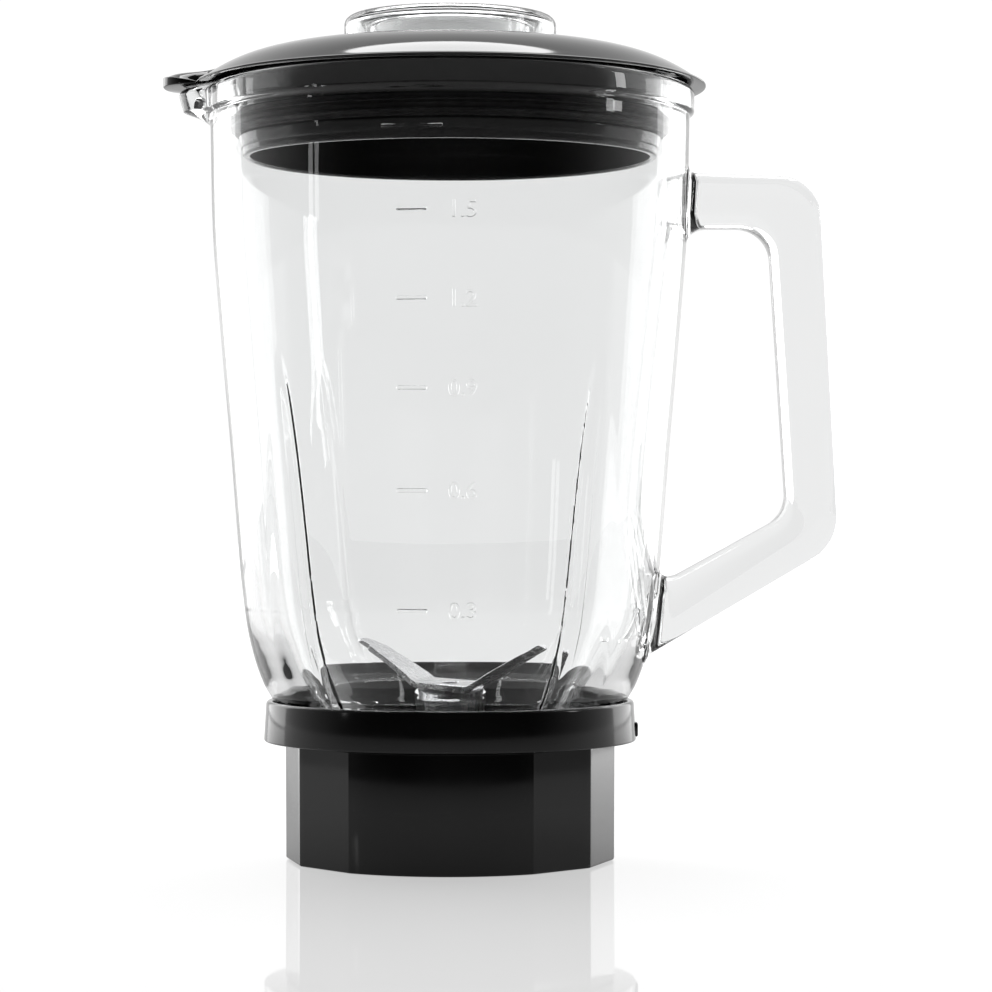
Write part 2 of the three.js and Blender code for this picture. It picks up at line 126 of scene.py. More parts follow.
def rounded(corners, steps=6, closed=True):
    """Points of an outline whose corners (x, y, radius) are rounded off."""
    points = []
    for i, corner in enumerate(corners):
        here = np.array(corner[:2], float)
        radius = corner[2] if len(corner) > 2 else 0
        at_end = not closed and i in (0, len(corners) - 1)
        if not radius or at_end:
            points.append(here)
            continue
        before = np.array(corners[i - 1][:2]) - here
        after = np.array(corners[(i + 1) % len(corners)][:2]) - here
        before_length, after_length = np.linalg.norm(before), np.linalg.norm(after)
        before, after = before / before_length, after / after_length
        half = math.acos(np.clip(before @ after, -1, 1)) / 2
        cut = min(radius / math.tan(half), 0.49 * min(before_length, after_length))
        middle = (before + after) / np.linalg.norm(before + after)
        centre = here + middle * cut / math.cos(half)
        first, last = here + before * cut - centre, here + after * cut - centre
        turn = math.atan2(first[0] * last[1] - first[1] * last[0], first @ last)
        for step in range(steps + 1):
            angle = turn * step / steps
            c, s = math.cos(angle), math.sin(angle)
            points.append(centre + (first[0] * c - first[1] * s, first[0] * s + first[1] * c))
    return [tuple(p) for p in points]


def curve_through(knots, count):
    """Points of a uniform Catmull-Rom curve through the knots."""
    knots = np.array(knots, float)
    ends = np.vstack([knots[0], knots, knots[-1]])
    points = []
    for t in np.linspace(0, len(knots) - 1, count + 1):
        i = min(int(t), len(knots) - 2)
        u = t - i
        a, b, c, d = ends[i:i + 4]
        tangent_in, tangent_out = (c - a) / 2, (d - b) / 2
        points.append(tuple(
            (2 * u**3 - 3 * u**2 + 1) * b + (u**3 - 2 * u**2 + u) * tangent_in
            + (3 * u**2 - 2 * u**3) * c + (u**3 - u**2) * tangent_out))
    return points


def grid_faces(rows, columns, closed_rows=True):
    """Quads between neighbouring rows of points; every row is a ring."""
    faces = []
    for i in range(rows if closed_rows else rows - 1):
        upper, lower = i * columns, ((i + 1) % rows) * columns
        for j in range(columns):
            k = (j + 1) % columns
            faces.append((upper + j, upper + k, lower + k, lower + j))
    return faces


def tube_faces(rows, columns):
    """Quads along a tube of rings, and a polygon over each of its ends."""
    last = (rows - 1) * columns
    ends = [tuple(range(columns)), tuple(range(last + columns - 1, last - 1, -1))]
    return grid_faces(rows, columns, closed_rows=False) + ends


def turned(name, profile, sides=LARGE, sharp=35, reshape=None):
    """A turned body about Z. The profile is a closed loop, or runs from axis to axis.

    reshape(radius, angle, z) gives new radii and heights, with the angle from +X.
    """
    profile = np.array(profile, float)
    on_axis = profile[0, 0] < 1e-6 and profile[-1, 0] < 1e-6
    rings = profile[1:-1] if on_axis else profile
    angle = np.arange(sides) * 2 * math.pi / sides
    radius = np.repeat(rings[:, :1], sides, axis=1)
    height = np.repeat(rings[:, 1:], sides, axis=1)
    if reshape:
        radius, height = reshape(radius, np.broadcast_to(angle, radius.shape), height)
    points = np.stack([radius * np.cos(angle), radius * np.sin(angle), height], axis=-1).reshape(-1, 3)
    faces = grid_faces(len(rings), sides, closed_rows=not on_axis)
    if on_axis:
        last_ring = (len(rings) - 1) * sides
        first, last = len(points), len(points) + 1
        points = np.vstack([points, [0, 0, profile[0, 1]], [0, 0, profile[-1, 1]]])
        faces += [(first, (j + 1) % sides, j) for j in range(sides)]
        faces += [(last, last_ring + j, last_ring + (j + 1) % sides) for j in range(sides)]
    return mesh_object(name, points, faces, sharp)


def ring(name, inner, outer, bottom, top, edge=0.2, sides=MIDDLE):
    """A flat ring with rounded edges."""
    corners = [(inner, bottom, edge), (outer, bottom, edge), (outer, top, edge), (inner, top, edge)]
    return turned(name, rounded(corners, 3), sides)


def join_solids(piece, others, sharp=35):
    """Joins the other closed meshes into the piece as one skin, and removes them."""
    for other in others:
        modifier = piece.modifiers.new("join", "BOOLEAN")
        modifier.operation = "UNION"
        modifier.solver = "MANIFOLD"
        modifier.object = other
    graph = bpy.context.evaluated_depsgraph_get()
    joined = bpy.data.meshes.new_from_object(piece.evaluated_get(graph))
    piece.modifiers.clear()
    piece.data = joined
    for other in others:
        bpy.data.objects.remove(other)
    finish_mesh(piece, sharp)
    return piece


# ------------------------------------------------------------------ node helpers

def new_material(name, **sockets):
    """A material with a Principled shader whose sockets have the given values."""
    material = bpy.data.materials.new(name)
    material.use_nodes = True
    shader = material.node_tree.nodes["Principled BSDF"]
    for socket, value in sockets.items():
        shader.inputs[socket.replace("_", " ")].default_value = value
    return material, material.node_tree, shader


def add_noise(tree, scale, detail=3.0, stretch=(1, 1, 1)):
    """Object-space noise. The scale is in features per metre."""
    coordinates = tree.nodes.new("ShaderNodeTexCoord")
    mapping = tree.nodes.new("ShaderNodeMapping")
    mapping.inputs["Scale"].default_value = stretch
    noise = tree.nodes.new("ShaderNodeTexNoise")
    noise.inputs["Scale"].default_value = scale
    noise.inputs["Detail"].default_value = detail
    tree.links.new(coordinates.outputs["Object"], mapping.inputs["Vector"])
    tree.links.new(mapping.outputs["Vector"], noise.inputs["Vector"])
    return noise.outputs["Fac"]


def add_range(tree, value, low, high, from_low=0.3, from_high=0.7):
    """Maps a 0 to 1 value onto low to high."""
    node = tree.nodes.new("ShaderNodeMapRange")
    node.inputs["From Min"].default_value = from_low
    node.inputs["From Max"].default_value = from_high
    node.inputs["To Min"].default_value = low
    node.inputs["To Max"].default_value = high
    tree.links.new(value, node.inputs["Value"])
    return node.outputs["Result"]


def add_colour_range(tree, value, low, high):
    """Blends between two colours by a noise value."""
    ramp = tree.nodes.new("ShaderNodeValToRGB")
    ramp.color_ramp.elements[0].position = 0.35
    ramp.color_ramp.elements[0].color = (*low, 1)
    ramp.color_ramp.elements[1].position = 0.65
    ramp.color_ramp.elements[1].color = (*high, 1)
    tree.links.new(value, ramp.inputs["Fac"])
    return ramp.outputs["Color"]


def add_bump(tree, shader, height, strength, distance):
    """Bump of the given depth in metres; a second bump goes on top of the first."""
    bump = tree.nodes.new("ShaderNodeBump")
    bump.inputs["Strength"].default_value = strength
    bump.inputs["Distance"].default_value = distance
    tree.links.new(height, bump.inputs["Height"])
    normal = shader.inputs["Normal"]
    if normal.links:
        tree.links.new(normal.links[0].from_socket, bump.inputs["Normal"])
    tree.links.new(bump.outputs["Normal"], normal)


# ------------------------------------------------------------------ materials

def pressed_glass():
    """Clear pressed glass: polished, with the slow ripple that a mould leaves."""
    material, tree, shader = new_material("pressed_glass", Roughness=0.0, IOR=1.5, Transmission_Weight=1.0)
    tint = add_colour_range(tree, add_noise(tree, 18), (0.975, 0.98, 0.98), (0.985, 0.99, 0.99))
    tree.links.new(tint, shader.inputs["Base Color"])
    add_bump(tree, shader, add_noise(tree, 28, 1.0, (1, 1, 0.35)), 0.35, 0.0004)
    return material


def clear_plastic():
    """Clear moulded plastic: a little softer than glass, with faint flow marks."""
    material, tree, shader = new_material("clear_plastic", IOR=1.49, Transmission_Weight=1.0)
    tint = add_colour_range(tree, add_noise(tree, 40), (0.95, 0.955, 0.955), (0.975, 0.98, 0.98))
    tree.links.new(tint, shader.inputs["Base Color"])
    tree.links.new(add_range(tree, add_noise(tree, 90), 0.01, 0.05), shader.inputs["Roughness"])
    add_bump(tree, shader, add_noise(tree, 60, 2.0), 0.3, 0.0002)
    return material


def moulded_black(name, roughness, tone, grain):
    """Black moulding: mottled sheen, and a fine grain over a slow sink in the surface."""
    material, tree, shader = new_material(name, IOR=1.5)
    dark, light = (tone * 0.8,) * 3, (tone * 1.25,) * 3
    tree.links.new(add_colour_range(tree, add_noise(tree, 35), dark, light), shader.inputs["Base Color"])
    sheen = add_range(tree, add_noise(tree, 70, 5.0), roughness * 0.75, roughness * 1.3)
    tree.links.new(sheen, shader.inputs["Roughness"])
    add_bump(tree, shader, add_noise(tree, 2600, 2.0), grain, 0.00003)
    add_bump(tree, shader, add_noise(tree, 22, 1.0), 0.25, 0.0003)
    return material


def rubber():
    """Matt black rubber with bloom."""
    material, tree, shader = new_material("rubber", IOR=1.48)
    tree.links.new(add_colour_range(tree, add_noise(tree, 120, 6.0), (0.012,) * 3, (0.03,) * 3),
                   shader.inputs["Base Color"])
    tree.links.new(add_range(tree, add_noise(tree, 300), 0.45, 0.65), shader.inputs["Roughness"])
    add_bump(tree, shader, add_noise(tree, 1800, 3.0), 0.4, 0.00004)
    return material


def brushed_steel(name, stretch, roughness):
    """Stainless steel with fine brushing along the axis that `stretch` leaves long."""
    material, tree, shader = new_material(name, Metallic=1.0)
    lines = add_noise(tree, 900, 4.0, stretch)
    tree.links.new(add_colour_range(tree, lines, (0.66, 0.66, 0.67), (0.74, 0.74, 0.75)),
                   shader.inputs["Base Color"])
    tree.links.new(add_range(tree, lines, roughness * 0.8, roughness * 1.3), shader.inputs["Roughness"])
    add_bump(tree, shader, lines, 0.25, 0.00001)
    return material


def bearing_bronze():
    """Sintered bronze: open-grained and dull."""
    material, tree, shader = new_material("bearing_bronze", Metallic=1.0)
    grain = add_noise(tree, 1500, 4.0)
    tree.links.new(add_colour_range(tree, grain, (0.38, 0.26, 0.13), (0.60, 0.44, 0.25)),
                   shader.inputs["Base Color"])
    tree.links.new(add_range(tree, grain, 0.35, 0.6), shader.inputs["Roughness"])
    add_bump(tree, shader, grain, 0.5, 0.00005)
    return material


GLASS = pressed_glass()
CLEAR = clear_plastic()
GLOSS = moulded_black("gloss_black", 0.06, 0.003, 0.03)
SATIN = moulded_black("satin_black", 0.1, 0.003, 0.06)
RUBBER = rubber()
BLADE_STEEL = brushed_steel("blade_steel", (0.05, 1, 1), 0.24)
TURNED_STEEL = brushed_steel("turned_steel", (1, 1, 0.05), 0.2)
BRONZE = bearing_bronze()


def dress(piece, material, body, slot, *nodes):
    """Gives a piece its material, its body and the CAD nodes it stands for; the slot argument is not used."""
    piece.data.materials.clear()
    piece.data.materials.append(material)
    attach(piece, body)
    if nodes:
        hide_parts(*nodes)
    return piece


# ------------------------------------------------------------------ glass jug

WALL_CURVE = np.array(curve_through(OUTER_WALL, 200))


def wall_radius(z):
    """Radius of the jug's outside at a height."""
    return np.interp(z, WALL_CURVE[:, 1], WALL_CURVE[:, 0])


def jug_profile():
    """The neck, the outside up to the rim's bead, and the inside down to the neck again."""
    rim_z = JUG_HIGH[2]
    neck_z = JUG_LOW[2]
    outside = curve_through(OUTER_WALL, 150)
    heights, widths = np.array(curve_through(WALL_THICKNESS, 140)).T
    inside = [(r - float(np.interp(z, heights, widths)), z) for r, z in reversed(outside)]
    foot = rounded([(NECK_INNER, 33, 3), (NECK_INNER, neck_z, 0.8), (NECK_OUTER, neck_z, 1.5),
                    (NECK_OUTER, 36.6, 2), (45.6, 39.7, 4), (outside[0][0] - 0.3, outside[0][1] - 0.5)],
                   5, closed=False)
    bead = rounded([outside[-1], (BEAD_R - 1.3, BEAD_Z - 0.4, 0.7), (BEAD_R, BEAD_Z + 0.6, 1.0),
                    (BEAD_R, rim_z, 2.0), (BEAD_R - 5.4, rim_z, 1.5), inside[0]], 6, closed=False)
    funnel = rounded([inside[-1], (36, 38.7, 6), (NECK_INNER, 33)], 8, closed=False)
    return foot + outside[1:] + bead[1:] + inside[1:] + funnel[1:-1]


def angle_between(angle, centre):
    """Unsigned difference of two directions in degrees."""
    return np.abs((angle - centre + 180) % 360 - 180)


def smoothstep(value, low, high):
    """Goes from 0 at low to 1 at high, level at both ends."""
    t = np.clip((value - low) / (high - low), 0, 1)
    return t * t * (3 - 2 * t)


def flutes(front_angle, z):
    """How far the flutes are pressed into the outside, and how high their ribs stand on the inside.

    A flute starts at a crease, where the rib rises, and both fade out towards the jug's side.
    """
    down = np.clip((FLUTE_TOP - z) / (FLUTE_TOP - FLUTE_FULL), 1e-4, 1)
    fade = smoothstep(z, FLUTE_END, FLUTE_FADE)
    width = FLUTE_ANGLE * np.sqrt(down)
    scoop, rib = 0, 0
    for centre, side in FLUTES:
        from_centre = ((front_angle - centre + 180) % 360 - 180) * side
        across = np.clip(from_centre / width + FLUTE_CREASE, 0, 1)
        scoop = scoop + SCOOP_SCALE * across * (1 - across) ** 2
        rib = rib + np.clip(across * width / RIB_ANGLE, 0, 1) * (1 - across) ** 2
    rib_start = np.clip(down * 8, 0, 1)     # the rib reaches its height in the first eighth
    return FLUTE_DEPTH * down * fade * scoop, RIB_HEIGHT * rib_start * fade * rib


def lip_reach(angle, z):
    """How far the pouring lip is drawn out; the angle is measured from +X."""
    across = np.clip(angle_between(angle, 180) / SPOUT_HALF_ANGLE, 0, 1)
    return SPOUT_REACH * smoothstep(z, SPOUT_START, SPOUT_FULL) * np.cos(across * math.pi / 2) ** 2


OUTER_SKIN = 3.5        # what lies nearer the outside of the wall than this belongs to the outside


def press_jug(radius, angle, z):
    """Presses the flutes and draws out the lip, on the round jug's points."""
    degrees = np.degrees(angle)
    scoop, rib = flutes(degrees + 90, z)
    outside = radius > wall_radius(z) - OUTER_SKIN
    return radius - np.where(outside, scoop, rib) + lip_reach(degrees, z), z


HANDLE_HALF_THICKNESS = 9.0
HANDLE_OUTER_EDGE, HANDLE_INNER_EDGE = 2.6, 3.4
FILLET_OUTER, FILLET_INNER = 2.0, 6.0
# side view of the handle: x out from the axis, height, corner radius, from the top root to the bottom
HANDLE_OUTER = [(65.3, 195.35), (105.1, 193.9, 12), (110.55, 90.2, 13), (53.6, 56.8)]
HANDLE_INNER = [(65.3, 180.0), (90.95, 180.0, 9.5), (96.2, 98.2, 10), (56.2, 76.4)]
ROOT_STEPS, ARC_STEPS, MIDDLE_STEPS = 60, 24, 40


def side_curve(corners):
    """The handle's side as three straight stretches and two arcs, with matched numbers of points."""
    outline = np.array(rounded(corners, ARC_STEPS, closed=False))
    arc = ARC_STEPS + 1
    first_arc, second_arc = outline[1:1 + arc], outline[1 + arc:1 + 2 * arc]
    near_root = np.linspace(0, 1, ROOT_STEPS, endpoint=False)[:, None] ** 1.5     # closer at the root
    middle = np.linspace(0, 1, MIDDLE_STEPS + 1)[1:-1, None]
    start = outline[0] + (first_arc[0] - outline[0]) * near_root
    between = first_arc[-1] + (second_arc[0] - first_arc[-1]) * middle
    end = (outline[-1] + (second_arc[-1] - outline[-1]) * near_root)[::-1]
    return np.vstack([start, first_arc, between, second_arc, end])


def handle():
    """The handle is swept between its outer and inner side, and flares out where it meets the wall."""
    outer, inner = side_curve(HANDLE_OUTER), side_curve(HANDLE_INNER)
    rings = []
    for out, into in zip(outer, inner):
        centre, half = (out + into) / 2, np.linalg.norm(out - into) / 2
        across = (out - into) / (2 * half)
        rings.append(handle_section(centre, across, half))
    return mesh_object("handle", np.vstack(rings), tube_faces(len(rings), len(rings[0])))


def handle_section(centre, across, half):
    """One cross-section: a rounded rectangle with fillets that grow as it nears the wall."""
    edges = ((HANDLE_OUTER_EDGE, 1, 1), (HANDLE_INNER_EDGE, -1, 1),
             (HANDLE_INNER_EDGE, -1, -1), (HANDLE_OUTER_EDGE, 1, -1))
    points = []
    for edge, up, side in edges:
        corner_u, corner_y = up * (half - edge), side * (HANDLE_HALF_THICKNESS - edge)
        start = math.atan2(side, up) - math.pi / 4
        for turn in np.linspace(start, start + math.pi / 2, 7):
            points.append((corner_u, corner_y, edge, math.cos(turn), math.sin(turn)))
    ordered = sorted(points, key=lambda p: math.atan2(p[1] + p[2] * p[4], p[0] + p[2] * p[3]))
    placed = []
    for corner_u, corner_y, edge, normal_u, normal_y in ordered:
        u, y = corner_u + edge * normal_u, corner_y + edge * normal_y
        x, z = centre + across * u
        clear = max(math.hypot(x, y) - float(wall_radius(z)), 0)
        fillet = FILLET_INNER + (FILLET_OUTER - FILLET_INNER) * (1 + normal_u) / 2
        reach = max(fillet - clear, 0)
        flare = fillet - math.sqrt(max(fillet**2 - reach**2, 0))
        x, z = centre + across * (u + flare * normal_u)
        placed.append((x, y + flare * normal_y, z))
    return placed


MARKS = (("0.3", 72.7), ("0.6", 105.0), ("0.9", 132.4), ("1.2", 156.2), ("1.5", 179.8))
MARK_ROOT, MARK_HEIGHT = -0.6, 0.45     # how deep a mark is rooted in the wall and how far it stands out
DASH_SIZE, DASH_LEFT = (8.4, 1.1), -13.6
NUMERAL_SIZE, NUMERAL_LEFT, NUMERAL_BEVEL = 6.5, 0.3, 0.16
FULL_LINE_SIZE, FULL_LINE_LEFT, FULL_LINE_Z = (16.7, 0.9), -17.7, 201.8


def on_wall(points, z):
    """Wraps a flat mark, given as across, up and out, onto the front of the jug at a height."""
    across, up, out = np.asarray(points, float).T
    height = z + up
    radius = wall_radius(height) + out
    angle = across / wall_radius(z)
    return np.stack([radius * np.sin(angle), -radius * np.cos(angle), height], axis=-1)


def dash(left, size, z):
    """A raised bar with round ends and a half-round section, wrapped onto the wall."""
    length, half = size[0], size[1] / 2
    layers = [(MARK_ROOT, half)]
    layers += [(MARK_HEIGHT * math.sin(t), half * math.cos(t)) for t in np.radians((0, 30, 55, 75))]
    points = []
    for out, reach in layers:
        for end, turn in ((left + length - half, -90), (left + half, 90)):
            for angle in np.radians(turn + np.arange(0, 181, 20)):
                points.append((end + reach * math.cos(angle), reach * math.sin(angle), out))
    faces = tube_faces(len(layers), len(points) // len(layers))
    return mesh_object("dash", on_wall(points, z), faces)


def numeral(text, left, size, z):
    """Raised numerals, wrapped onto the wall."""
    curve = bpy.data.curves.new("numeral", "FONT")
    curve.body = text
    curve.size = size
    curve.bevel_depth = NUMERAL_BEVEL
    curve.bevel_resolution = 2
    curve.offset = -curve.bevel_depth / 2
    curve.extrude = (MARK_HEIGHT - MARK_ROOT) / 2 - curve.bevel_depth
    curve.resolution_u = 4
    holder = bpy.data.objects.new("numeral", curve)
    bpy.context.scene.collection.objects.link(holder)
    graph = bpy.context.evaluated_depsgraph_get()
    mesh = bpy.data.meshes.new_from_object(holder.evaluated_get(graph))
    bpy.data.objects.remove(holder)
    bm = bmesh.new()
    bm.from_mesh(mesh)
    bmesh.ops.remove_doubles(bm, verts=bm.verts, dist=1e-4)
    flat = np.array([v.co for v in bm.verts])
    cap_height = flat[:, 1].max()
    flat += (left, -cap_height / 2, (MARK_HEIGHT + MARK_ROOT) / 2)
    faces = [tuple(v.index for v in f.verts) for f in bm.faces]
    bm.free()
    return mesh_object("numeral", on_wall(flat, z), faces)


THREAD_LEAD, THREAD_ARC, THREAD_THICKNESS = 24.0, 48.0, 3.0
LUG_BOTTOM, LUG_R, KEEPER_R, THREAD_GAP = 24.0, 39.2, 37.5, 0.3


def thread_lugs(inner, outer, bottom):
    """Three lugs that climb round the axis, as the neck and the collar have."""
    steps = 24
    thick = THREAD_THICKNESS
    section = rounded([(inner, 0), (outer, 0, 0.4), (outer, thick, 0.4), (inner, thick)], 3)
    lugs = []
    for start in (0, 120, 240):
        points = []
        for step in range(steps + 1):
            along = THREAD_ARC * step / steps
            angle = math.radians(start + along)
            climb = bottom + THREAD_LEAD * along / 360
            points += [(r * math.cos(angle), r * math.sin(angle), climb + z) for r, z in section]
        lugs.append(mesh_object("lug", points, tube_faces(steps + 1, len(section))))
    return lugs


def glass_jug():
    """One moulding: the jug with its handle, thread lugs and raised marks."""
    jug = turned("glass_jug_fine", jug_profile(), JUG_SIDES, reshape=press_jug)
    marks = [dash(DASH_LEFT, DASH_SIZE, z) for _, z in MARKS]
    marks += [numeral(text, NUMERAL_LEFT, NUMERAL_SIZE, z) for text, z in MARKS]
    marks.append(dash(FULL_LINE_LEFT, FULL_LINE_SIZE, FULL_LINE_Z))
    lugs = thread_lugs(NECK_OUTER - 1, LUG_R, LUG_BOTTOM)
    join_solids(jug, [handle(), *lugs, *marks])
    return dress(jug, GLASS, "jug", "glass", "glass_jug")


def jug_gasket():
    """The flat ring between the neck and the blade carrier."""
    gasket = ring("jug_gasket_fine", NECK_INNER - 0.2, GASKET_HIGH[0], GASKET_LOW[2], GASKET_HIGH[2], 0.4)
    return dress(gasket, RUBBER, "gasket_carrier", "rubber", "jug_gasket")


# ------------------------------------------------------------------ lid, seal and cap

CROWN_RIM_Z, CROWN_RISE, CROWN_POWER, CROWN_FALL = 220.1, 10.85, 6.1, 1.18
RIM_R = LID_HIGH[0]
LID_UNDERSIDE = 219.85
LID_HUB_R, LID_HUB_WALL, LID_HUB_BOTTOM, CROWN_WALL = 25.2, 2.3, 214.0, 2.4
BEAK_HALF_WIDTH, BEAK_TIP, BEAK_RISE = 13.0, -LID_LOW[0], 2.2


def crown_z(radius):
    """Height of the lid's dome."""
    part = np.clip(1 - (np.asarray(radius, float) / RIM_R) ** CROWN_POWER, 0, 1)
    return CROWN_RIM_Z + CROWN_RISE * part**CROWN_FALL


def lid_profile():
    """The dome, the rim, the skirt and its inside, the ceiling and the hub."""
    hub_outer = LID_HUB_R + LID_HUB_WALL
    upstand = float(crown_z(hub_outer)) + 1.8
    skirt_bottom = LID_LOW[2]
    dome_radii = np.concatenate([np.linspace(hub_outer + 1, 60, 14), np.linspace(61, 72.2, 22)])
    dome = [(r, float(crown_z(r))) for r in dome_radii]
    ceiling = [(r, float(crown_z(r)) - CROWN_WALL) for r in np.linspace(56, hub_outer, 10)]
    rim = rounded([dome[-1], (RIM_R, 220.45, 0.5), (RIM_R, LID_UNDERSIDE, 0.4), (70, LID_UNDERSIDE)],
                  4, closed=False)
    skirt = rounded([
        (70, LID_UNDERSIDE), (60.5, LID_UNDERSIDE, 0.8), (60.5, 211.6, 0.3), (59.3, 211.4, 0.2),
        (59.3, 204.9, 0.2), (60.2, 204.7, 0.3), (59.6, 201.6, 0.3), (59.2, 201.4, 0.2),
        (59.1, skirt_bottom, 0.9), (56.9, skirt_bottom, 0.7), (57.5, 216, 2), ceiling[0]], 5, closed=False)
    hub = rounded([ceiling[-1], (hub_outer, LID_HUB_BOTTOM, 0.4), (LID_HUB_R, LID_HUB_BOTTOM, 0.4),
                   (LID_HUB_R, upstand, 0.5), (hub_outer, upstand, 0.5), dome[0]], 4, closed=False)
    return dome + rim[1:] + skirt[1:] + ceiling[1:] + hub[1:-1]


def draw_beak(radius, angle, z):
    """Draws the rim out over the pouring lip as a flat tongue with round shoulders."""
    sideways = np.abs(radius * np.sin(angle))
    toward_lip = np.cos(angle) < 0
    outward = smoothstep(radius, 64, RIM_R) * (z > LID_UNDERSIDE - 0.2)
    shoulder = np.clip(1 - (sideways / BEAK_HALF_WIDTH) ** 2.6, 0, 1) ** 0.7
    reach = (BEAK_TIP - RIM_R) * shoulder * outward * toward_lip
    lift = BEAK_RISE * shoulder * smoothstep(radius, 66, 71.5) * (z > LID_UNDERSIDE + 0.3) * toward_lip
    return radius + reach, z + lift


def lid():
    """The black dome with its beak, skirt and hub."""
    piece = turned("lid_fine", lid_profile(), LID_SIDES, reshape=draw_beak)
    return dress(piece, GLOSS, "lid", "gloss_black", "lid")


def lid_seal():
    """The ring with two lips round the skirt."""
    profile = rounded([
        (59.5, 205.1, 0.2), (61.2, 205.1, 0.4), (61.2, 205.9, 0.3), (62.9, 206.4, 0.25), (62.9, 206.95, 0.25),
        (61.2, 207.4, 0.4), (61.2, 208.6, 0.4), (62.9, 209.1, 0.25), (62.9, 209.65, 0.25), (61.2, 210.1, 0.4),
        (61.2, 211.2, 0.4), (59.5, 211.2, 0.2)], 4)
    return dress(turned("lid_seal_fine", profile), RUBBER, "lid", "rubber", "lid_seal")


def filler_cap():
    """A clear cup with a wide brim that sits upside down in the hub."""
    outer, top = CAP_HIGH[0], CAP_HIGH[2]
    wall, cup = 2.1, 24.7
    brim = float(crown_z(outer)) + 0.4
    roof = top - wall
    profile = rounded([
        (0, top), (outer, top, 2.6), (outer, brim, 0.6), (outer - wall, brim, 0.6), (outer - wall, roof, 1.2),
        (cup, roof, 0.8), (cup, CAP_LOW[2], 0.8), (cup - wall - 0.4, CAP_LOW[2], 0.8),
        (cup - wall, roof, 1.6), (0, roof)], 7, closed=False)
    piece = turned("filler_cap_fine", profile, CAP_SIDES)
    return dress(piece, CLEAR, "cap", "clear_plastic", "filler_cap")


# ------------------------------------------------------------------ base

COLLAR_R, COLLAR_MARK_Z, COLLAR_MARK_SIZE = 53.1, 36.85, (5.0, 4.1)


def base_collar():
    """The ring that holds the neck, with keepers for its lugs and a mark outside."""
    outer, top = COLLAR_R, COLLAR_HIGH[2]
    profile = rounded([
        (24, 12.5, 0.4), (42.4, 12.5, 0.4), (42.4, 33.9, 0.5), (outer, 33.9, 0.5), (outer - 0.68, top, 1.5),
        (50.6, top, 0.5), (50.6, 41.5, 0.8), (46.5, 38.6, 1), (41.8, 36.2, 1), (39.6, 34.6, 0.6),
        (39.6, 17, 0.3), (24, 17, 0.4)], 6)
    keepers = thread_lugs(KEEPER_R, 40.6, LUG_BOTTOM + THREAD_THICKNESS + THREAD_GAP)
    piece = join_solids(turned("base_collar_fine", profile), [*keepers, collar_mark()])
    return dress(piece, SATIN, "base", "satin_black", "base_collar")


def collar_mark():
    """A small raised mark on the collar, under the handle."""
    half_width, half_height = COLLAR_MARK_SIZE[0] / 2, COLLAR_MARK_SIZE[1] / 2
    corners = ((-1, -1), (1, -1), (1, 1), (-1, 1))
    outline = rounded([(half_width * y, half_height * z, 0.8) for y, z in corners], 4)
    layers = ((-1.6, 0), (0.2, 0), (0.5, 0.3))      # how far out, and how much smaller
    points = []
    for outwards, inset in layers:
        shrink = 1 - inset / half_width
        points += [(COLLAR_R + outwards, y * shrink, COLLAR_MARK_Z + z * shrink) for y, z in outline]
    return mesh_object("collar_mark", points, tube_faces(len(layers), len(outline)))


FOOT_ARC, FOOT_START = 65.5, -125.6       # degrees that an arc spans, and where the first one starts
FOOT_CORNER_R, FOOT_WALL = 47.0, 2.6
DECK_LOW, DECK_HIGH, DECK_HOLE_R = 9.5, 12.2, 22.0


def foot_plan(inset):
    """The foot's plan, moved in by a distance: three wide arcs with a pair of flats between them."""
    flat = (120 - FOOT_ARC) / 2
    corners = []
    for third in range(3):
        start = FOOT_START + 120 * third
        corners += [(start + angle, 0) for angle in np.linspace(0, FOOT_ARC, 25)]
        corners.append((start + FOOT_ARC + flat, 0.7))
    radius = FOOT_CORNER_R - inset
    outline = [(radius * math.cos(math.radians(angle)), radius * math.sin(math.radians(angle)), edge)
               for angle, edge in corners]
    return spread(np.array(rounded(outline, 4)), 12)


def spread(points, per_flat, shortest_flat=8):
    """Adds points along the long straight stretches of a closed outline."""
    result = []
    for here, there in zip(points, np.roll(points, -1, axis=0)):
        count = per_flat if np.linalg.norm(there - here) > shortest_flat else 1
        for step in range(count):
            result.append(here + (there - here) * step / count)
    return np.array(result)


def base_skirt():
    """A shell with a deck inside: rings of the foot's plan, and round rings at the deck's hole."""
    bottom, top = SKIRT_LOW[2], SKIRT_HIGH[2]
    wall, hole = FOOT_WALL, 20      # a section point at `hole` goes to the edge of the deck's hole
    section = rounded([(0.15, bottom, 0.6), (0, top, 0.5), (wall, top, 0.5), (wall, DECK_HIGH, 0.8),
                       (hole, DECK_HIGH, 0.3), (hole, DECK_LOW, 0.3), (wall, DECK_LOW, 0.8),
                       (wall, bottom, 0.6)], 4)
    rings = []
    for inset, z in section:
        plan = foot_plan(min(inset, wall))
        if inset > wall + 0.01:
            angles = np.arctan2(plan[:, 1], plan[:, 0])
            circle = np.stack([np.cos(angles), np.sin(angles)], axis=-1) * DECK_HOLE_R
            part = min((inset - wall) / (hole - wall), 1)
            plan = plan + (circle - plan) * part
        rings.append(np.column_stack([plan, np.full(len(plan), z)]))
    faces = grid_faces(len(rings), len(rings[0]))
    piece = mesh_object("base_skirt_fine", np.vstack(rings), faces, 12)
    return dress(piece, SATIN, "base", "satin_black", "base_skirt")


